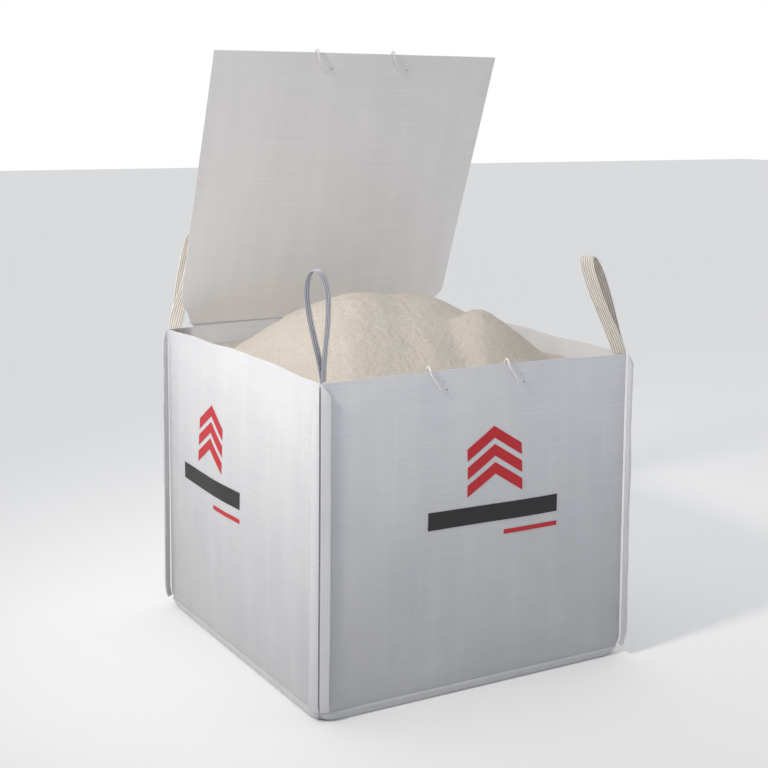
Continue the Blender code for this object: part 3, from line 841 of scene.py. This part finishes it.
def make_tail(name, side_name, at_end):
    """A loop's end, sewn flat to the inside of the panel beside the corner."""
    side = SIDES[side_name]
    sign = -1 if at_end else 1
    distances = [sign * (TAIL_START + TAIL_WIDTH * i / TAIL_COLUMNS) for i in range(TAIL_COLUMNS + 1)]
    middle = sign * (TAIL_START + TAIL_WIDTH / 2)
    if at_end:
        distances.reverse()
    top = RIM_HEIGHT - TAIL_DROP
    heights = [top - TAIL_LENGTH + TAIL_LENGTH * i / TAIL_ROWS for i in range(TAIL_ROWS + 1)]
    near = FABRIC + TAIL_STANDOFF
    outer = [[beside_corner(side, d, z, near) for d in distances] for z in heights]
    inner = [[beside_corner(side, d, z, near + TAIL_PLY) for d in distances] for z in heights]
    uvs = [[((d - middle) * WEB_WIDTH / TAIL_WIDTH, z) for d in distances] for z in heights]
    piece = cloth_sheet(f"{name}_webbing", outer, inner, uvs, WEB_SKIN)
    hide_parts(name)
    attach(piece, ROOT)


# -------- lid

LID_SKIN_THICKNESS = 0.0016
LEFT_CUT_SHARE, LEFT_CUT_REACH = 0.95, 1.5
RIGHT_CUT_SHARE, SEAM_CUT_SHARE = 0.78, 1.1
LID_SLACK, LID_RIPPLE, SLACK_RISE = 0.0055, 0.0014, 0.12
LID_COLUMNS, LID_ROWS = 90, 84
SEAM_COLUMNS = 60
SEAM_DROPS, SEAM_RISES, SEAM_OVERLAP = (-0.026, -0.018, -0.009, -0.001), (0.004, 0.012), 0.004
SEAM_WALL_OUT, SEAM_LID_OUT, SEAM_IN = 0.0024, 0.0020, 0.0009


def lid_frame():
    """The lid's hinge point, and the ways across it, up along it and out of its front."""
    hinge = Vector((0, DEPTH / 2 - FABRIC / 2, RIM_HEIGHT + LID_LIFT))
    along = Vector((0, -math.sin(LID_LEAN), math.cos(LID_LEAN)))
    front = Vector((0, -math.cos(LID_LEAN), -math.sin(LID_LEAN)))
    return hinge, Vector((1, 0, 0)), along, front


def lid_point(x_share, up, depth):
    """A point of the lid's cloth: nearly flat, with slack waves and its lower corners drawn in."""
    hinge, across, along, front = lid_frame()
    left, right = LID_LEFT, LID_RIGHT
    (left_cut, left_top), (right_cut, right_top) = LID_NOTCHES["left"], LID_NOTCHES["right"]
    left += left_cut * (1 - smooth(0.0, left_top * LEFT_CUT_REACH, up)) * LEFT_CUT_SHARE
    right -= right_cut * (1 - smooth(0.0, right_top, up)) * RIGHT_CUT_SHARE
    x = left + (right - left) * x_share
    slack = noise.noise(Vector((x * 2.1, up * 1.7, 31.0))) * LID_SLACK
    slack += noise.noise(Vector((x * 6.5, up * 2.6, 37.0))) * LID_RIPPLE
    slack *= smooth(0.0, SLACK_RISE, up)
    return hinge + across * x + along * up + front * (depth + slack)


def make_lid():
    outer, inner, uvs = [], [], []
    shares = [c / LID_COLUMNS for c in range(LID_COLUMNS + 1)]
    for r in range(LID_ROWS + 1):
        up = LID_LENGTH * r / LID_ROWS
        outer.append([lid_point(s, up, LID_SKIN_THICKNESS / 2) for s in shares])
        inner.append([lid_point(s, up, -LID_SKIN_THICKNESS / 2) for s in shares])
        uvs.append([(LID_LEFT + (LID_RIGHT - LID_LEFT) * s, up) for s in shares])
    piece = cloth_sheet("lid_cloth", outer, inner, uvs, LID_SKIN)
    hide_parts("lid_flap")
    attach(piece, LID)


def make_lid_seam():
    """The lid's lower edge, sewn to the outside of the rear rim and bending up over it to the lid."""
    side = SIDES["rear"]
    hinge, across, along, front = lid_frame()
    left = LID_LEFT + LID_NOTCHES["left"][0] * SEAM_CUT_SHARE
    right = LID_RIGHT - LID_NOTCHES["right"][0] * SEAM_CUT_SHARE
    stations = [right + (left - right) * c / SEAM_COLUMNS for c in range(SEAM_COLUMNS + 1)]
    outer, inner, uvs = [], [], []
    for drop in SEAM_DROPS:
        row_out, row_in = [], []
        for x in stations:
            share = -x / side.half_along
            z = rim_top("rear", share) + drop
            for row, inset in ((row_out, -SEAM_WALL_OUT), (row_in, -SEAM_IN)):
                row.append(wall(side, (share, 0), z, inset) + side.out * rumple("rear", share, z))
        outer.append(row_out)
        inner.append(row_in)
    for up in SEAM_RISES:
        line = [hinge + across * x + along * (up - SEAM_OVERLAP) for x in stations]
        outer.append([place - front * SEAM_LID_OUT for place in line])
        inner.append([place - front * SEAM_IN for place in line])
    for height in SEAM_DROPS + SEAM_RISES:
        uvs.append([(-x, height) for x in stations])
    piece = cloth_sheet("lid_seam_cloth", outer, inner, uvs, SEAM_SKIN)
    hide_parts("lid_seam_strip")
    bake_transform(piece)


# -------- tie cords

def smooth_route(points, per_span):
    """A Catmull-Rom curve through the route's points."""
    ends = [points[0] * 2 - points[1]] + points + [points[-1] * 2 - points[-2]]
    route = []
    for a, b, c, d in zip(ends, ends[1:], ends[2:], ends[3:]):
        for i in range(per_span):
            t = i / per_span
            bend = (2 * a - 5 * b + 4 * c - d) * t**2 + (3 * b - a - 3 * c + d) * t**3
            route.append(0.5 * (2 * b + (c - a) * t + bend))
    return route + [points[-1]]


def tie_route(place, thickness):
    """A cord's middle line: out of the cloth, up and over its edge, and down to it behind."""
    face = thickness / 2 + CORD_RADIUS
    mouth = thickness / 2 + GAP
    stops = (
        (0.000, -TIE_DROP, mouth),
        (-0.001, -TIE_DROP + 0.001, mouth + 0.004),
        (-0.006, -TIE_DROP * 0.84, face + 0.005),
        (-0.018, -TIE_DROP * 0.56, face + 0.006),
        (-0.030, -TIE_DROP * 0.25, face + 0.007),
        (-TIE_SHIFT, 0.000, face + 0.005),
        (-TIE_SHIFT, 0.0065, face),
        (-TIE_SHIFT, 0.0090, 0.000),
        (-TIE_SHIFT, 0.0065, -face),
        (-TIE_SHIFT, 0.000, -face - 0.005),
        (-TIE_SHIFT + 0.004, -TIE_INSIDE * 0.6, -face - 0.006),
        (-TIE_SHIFT + 0.009, -TIE_INSIDE, -mouth - 0.005),
        (-TIE_SHIFT + 0.010, -TIE_INSIDE - 0.001, -mouth),
    )
    return [place(*stop) for stop in stops]


def add_tie(name, node, route, body):
    curve = bpy.data.curves.new(name, "CURVE")
    curve.dimensions = "3D"
    curve.bevel_depth = CORD_RADIUS
    curve.bevel_resolution = 4
    curve.use_fill_caps = True
    points = smooth_route(route, TIE_ROUTE_STEPS)
    spline = curve.splines.new("POLY")
    spline.points.add(len(points) - 1)
    for point, place in zip(spline.points, points):
        point.co = (*place, 1)
    curve.materials.append(CORD_SKIN)
    thing = bpy.data.objects.new(name, curve)
    bpy.context.scene.collection.objects.link(thing)
    length = sum((b - a).length for a, b in zip(points, points[1:]))
    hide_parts(node)
    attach(thing, body)
    tuple(points[0])


HOLE_SIDES, HOLE_STANDOFF, HOLE_CROWN, HOLE_DEPTH = 10, 0.0004, 0.0001, 0.0008
# Each hole beside a tie: how far along and up from the tie, and its radius
FRONT_HOLES = ((0.019, -0.050, 0.0018), (0.012, -0.030, 0.0011))
LID_HOLE = (0.020, -0.045, 0.0018)


def add_holes(name, spots, body):
    """The small holes beside the ties, as dark dots on the cloth: painted shade in place of the shade inside
    the holes.
    """
    dots, dot_faces = [], []
    for centre, outward, radius in spots:
        side = outward.cross(UP).normalized()
        over = outward.cross(side)
        start = len(dots)
        ring = HOLE_SIDES
        dots.append(centre + outward * (HOLE_STANDOFF + HOLE_CROWN))
        for k in range(ring):
            turn = 2 * math.pi * k / ring
            reach = side * math.cos(turn) + over * math.sin(turn)
            dots.append(centre + reach * radius + outward * HOLE_STANDOFF)
        for k in range(ring):
            dots.append(dots[start + 1 + k] - outward * HOLE_DEPTH)
        for k in range(ring):
            j = (k + 1) % ring
            dot_faces.append((start, start + 1 + k, start + 1 + j))
            dot_faces.append((start + 1 + k, start + 1 + ring + k, start + 1 + ring + j, start + 1 + j))
        dot_faces.append(tuple(start + 1 + ring + k for k in reversed(range(ring))))
    piece = make_mesh(name, dots, dot_faces, None, HOLE_SHADE_SKIN)
    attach(piece, body)


TIE_CROWN, TIE_EASE, TIE_ROUTE_STEPS = 0.008, 0.001, 4


def make_ties():
    front = SIDES["front"]
    for key, hole in FRONT_TIES.items():
        rim = RIM_HEIGHT + TIE_CROWN * (1 - ((hole - TIE_SHIFT) / front.half_along) ** 2)

        def on_front(x, up, out, hole=hole, rim=rim):
            return wall(front, ((hole + x) / front.half_along, 0), rim + up, FABRIC / 2 - out)

        add_tie(f"front_tie_{key}_cord", f"front_tie_{key}", tie_route(on_front, FABRIC + TIE_EASE), ROOT)
    hinge, across, along, face = lid_frame()
    for key, hole in LID_TIES.items():
        edge = hinge + across * hole + along * LID_LENGTH

        def on_lid(x, up, out, edge=edge):
            return edge + across * x + along * up + face * out

        add_tie(f"lid_tie_{key}_cord", f"lid_tie_{key}", tie_route(on_lid, LID_THICKNESS), LID)


def make_holes():
    front = SIDES["front"]
    spots = []
    for hole in FRONT_TIES.values():
        rim = RIM_HEIGHT + RIM_CROWNS["front"]
        for x, up, radius in FRONT_HOLES:
            share = (hole + x) / front.half_along
            spots.append((panel_point("front", (share, 0), rim + up, 0.0), front.out, radius))
    add_holes("front_tie_holes", spots, ROOT)
    face = lid_frame()[3]
    x, up, radius = LID_HOLE
    spots = []
    for hole in LID_TIES.values():
        share = (hole + x - LID_LEFT) / (LID_RIGHT - LID_LEFT)
        spots.append((lid_point(share, LID_LENGTH + up, LID_SKIN_THICKNESS / 2), face, radius))
    add_holes("lid_tie_holes", spots, LID)


# -------- sand

SAND_LEVEL, SAND_BLEND = -0.052, 0.010
# Heights are above the rim. "faces" are the ways that a heap's slid faces look, in degrees from +X
HEAPS = (
    {"x": -0.094, "y": 0.002, "height": 0.141, "radius": 0.297, "tip": 0.538, "faces": (20, 105, 196, 282)},
    {"x": 0.166, "y": -0.196, "height": 0.101, "radius": 0.143, "tip": 0.35, "faces": (40, 120, 200, 292)},
    {"x": 0.069, "y": 0.006, "height": 0.131, "radius": 0.291, "tip": 0.552, "faces": (10, 100, 200, 300)},
)
FACE_SHARE, FACE_REACH, FACE_SOFTNESS = 0.45, 1.18, 0.06


def heap_height(x, y):
    """The sand's height above the rim: heaps, part cone and part slid faces, blended with the level."""
    levels = [SAND_LEVEL]
    for heap in HEAPS:
        dx, dy = (x - heap["x"]) / heap["radius"], (y - heap["y"]) / heap["radius"]
        turns = [math.radians(face) for face in heap["faces"]]
        slides = [(dx * math.cos(turn) + dy * math.sin(turn)) / FACE_SOFTNESS for turn in turns]
        steepest = max(slides)
        slid = FACE_SOFTNESS * (steepest + math.log(sum(math.exp(slide - steepest) for slide in slides)))
        distance = math.hypot(dx, dy) * (1 - FACE_SHARE) + slid * FACE_SHARE * FACE_REACH
        tip = heap["tip"]
        fall = (math.hypot(distance, tip) - tip) / (math.hypot(1, tip) - tip)
        levels.append(heap["height"] * (1 - fall))
    highest = max(levels)
    return highest + SAND_BLEND * math.log(sum(math.exp((level - highest) / SAND_BLEND) for level in levels))


SAND_GRID = 230
SAND_INSET, SKIRT_HEIGHT = 0.0030, 0.60
# Each size of lump: its rate, its seed and its height
SAND_LUMPS = ((7, 1.0, 0.0075), (19, 5.0, 0.0034), (48, 9.0, 0.0015), (110, 13.0, 0.0007))


def sand_surface(x, y):
    """The height above the rim, with the lumps and pocks of poured sand."""
    z = heap_height(x, y)
    for rate, seed, size in SAND_LUMPS:
        z += noise.noise(Vector((x * rate, y * rate, seed))) * size
    return z


def make_sand():
    """The heap's top as a fine grid out to the panels, on a short skirt that goes down inside them."""
    half_x = WIDTH / 2 - SAND_INSET
    half_y = DEPTH / 2 - SAND_INSET
    n = SAND_GRID
    points = []
    for j in range(n + 1):
        for i in range(n + 1):
            x = half_x * (2 * i / n - 1)
            y = half_y * (2 * j / n - 1)
            points.append(Vector((x, y, RIM_HEIGHT + sand_surface(x, y))))
    top = len(points)
    faces = list(grid_faces(n + 1, n + 1))
    rim = rim_loop(n + 1, n + 1)
    for index in rim:
        points.append(Vector((points[index].x, points[index].y, SKIRT_HEIGHT)))
    count = len(rim)
    for k in range(count):
        j = (k + 1) % count
        faces.append((rim[j], rim[k], top + k, top + j))
    faces.append(tuple(top + k for k in reversed(range(count))))
    piece = make_mesh("sand_heap", points, faces, None, SAND_SKIN)
    piece.data.set_sharp_from_angle(angle=SOFT_SHARP_EDGE)
    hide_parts("sand_fill")
    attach(piece, ROOT)


# -------- stage and light

FLOOR_HALF, FLOOR_DROP, FLOOR_PALE = 30.0, 0.0006, (0.93, 0.93, 0.93)
SHADE_TINT, TINT_SPAN, STRENGTH_SPAN = (0.86, 0.91, 1.0), (-0.35, 0.4), (-0.35, 0.55)
BRIGHT_SIDE = (0.28, 0.90, 0.32)
SHADE_STRENGTH, BRIGHT_STRENGTH = 0.43, 1.0
KEY_PLACE, KEY_POWER = (-2.6, -0.90, 2.85), 8.5
FILL_PLACE, FILL_POWER = (-0.5, -3.4, 2.5), 0.6
KEY_TARGET, KEY_SIZE, KEY_SPREAD, KEY_TINT = (-0.2, 0.0, 0.82), 0.5, math.radians(60), (1.0, 0.955, 0.89)
FILL_TARGET, FILL_SIZE, FILL_SPREAD, FILL_TINT = (0.0, 0.35, 0.80), 1.6, math.radians(50), (1.0, 0.985, 0.96)


def plain(name, colour):
    n = Nodes(name)
    n.surface("Base Color", (*colour, 1))
    n.surface("Roughness", 0.9)
    n.surface("Specular IOR Level", 0.1)
    return n.material


def add_area(name, place, target, size, spread, power, colour):
    data = bpy.data.lights.new(name, "AREA")
    data.shape = "RECTANGLE"
    data.size = data.size_y = size
    data.spread = spread
    data.energy = power
    data.color = colour
    thing = bpy.data.objects.new(name, data)
    bpy.context.scene.collection.objects.link(thing)
    thing.location = place
    thing.rotation_euler = (Vector(target) - Vector(place)).to_track_quat("-Z", "Y").to_euler()


def spread_over(tree, source, low, high, to_low, to_high):
    """The source's values from low to high, spread over another range."""
    node = tree.nodes.new("ShaderNodeMapRange")
    for socket, number in zip(list(node.inputs)[1:5], (low, high, to_low, to_high)):
        socket.default_value = number
    tree.links.new(source, node.inputs[0])
    return node.outputs[0]


def make_sky():
    """A pale sky, brighter and whiter toward one side, dimmer and bluer away from it."""
    world = bpy.data.worlds.new("studio")
    world.use_nodes = True
    tree = world.node_tree
    sky = tree.nodes["Background"]
    ways = tree.nodes.new("ShaderNodeTexCoord")
    dot = tree.nodes.new("ShaderNodeVectorMath")
    dot.operation = "DOT_PRODUCT"
    dot.inputs[1].default_value = BRIGHT_SIDE
    tree.links.new(ways.outputs["Generated"], dot.inputs[0])
    toward = dot.outputs["Value"]
    tint = tree.nodes.new("ShaderNodeMix")
    tint.data_type = "RGBA"
    tint.inputs[6].default_value = (*SHADE_TINT, 1)
    tint.inputs[7].default_value = (1, 1, 1, 1)
    tree.links.new(spread_over(tree, toward, *TINT_SPAN, 0, 1), tint.inputs[0])
    tree.links.new(tint.outputs[2], sky.inputs["Color"])
    strength = spread_over(tree, toward, *STRENGTH_SPAN, SHADE_STRENGTH, BRIGHT_STRENGTH)
    tree.links.new(strength, sky.inputs["Strength"])
    bpy.context.scene.world = world


def make_stage():
    half = FLOOR_HALF
    corners = [(-half, -half, 0), (half, -half, 0), (half, half, 0), (-half, half, 0)]
    floor = make_mesh("floor", corners, [(0, 1, 2, 3)], None, plain("floor_pale", FLOOR_PALE))
    floor.location = (0, 0, -FLOOR_DROP)
    make_sky()
    bpy.context.scene.view_settings.view_transform = "Standard"
    add_area("key_left", KEY_PLACE, KEY_TARGET, KEY_SIZE, KEY_SPREAD, KEY_POWER, KEY_TINT)
    add_area("fill_front", FILL_PLACE, FILL_TARGET, FILL_SIZE, FILL_SPREAD, FILL_POWER, FILL_TINT)


FLAP_SEEDS, FLAP_SEED_STEP = (3.0, 5.5), 7.7


def main():
    make_ties()
    for name in SIDES:
        make_panel(name)
        make_hem(name)
    for name in MARKS:
        make_marks(name)
    make_base()
    for k, (name, corner) in enumerate(CORNERS.items()):
        ends, starts = corner["ends"], corner["starts"]
        seeds = [seed + FLAP_SEED_STEP * k for seed in FLAP_SEEDS]
        make_flap(f"{name}_flap_{ends}", ends, True, corner["lifts"][0], seeds[0])
        make_flap(f"{name}_flap_{starts}", starts, False, corner["lifts"][1], seeds[1])
        make_tail(f"{name}_tail_{ends}", ends, True)
        make_tail(f"{name}_tail_{starts}", starts, False)
        make_loop(name)
    make_lid()
    make_lid_seam()
    make_holes()
    make_sand()
    make_stage()


main()
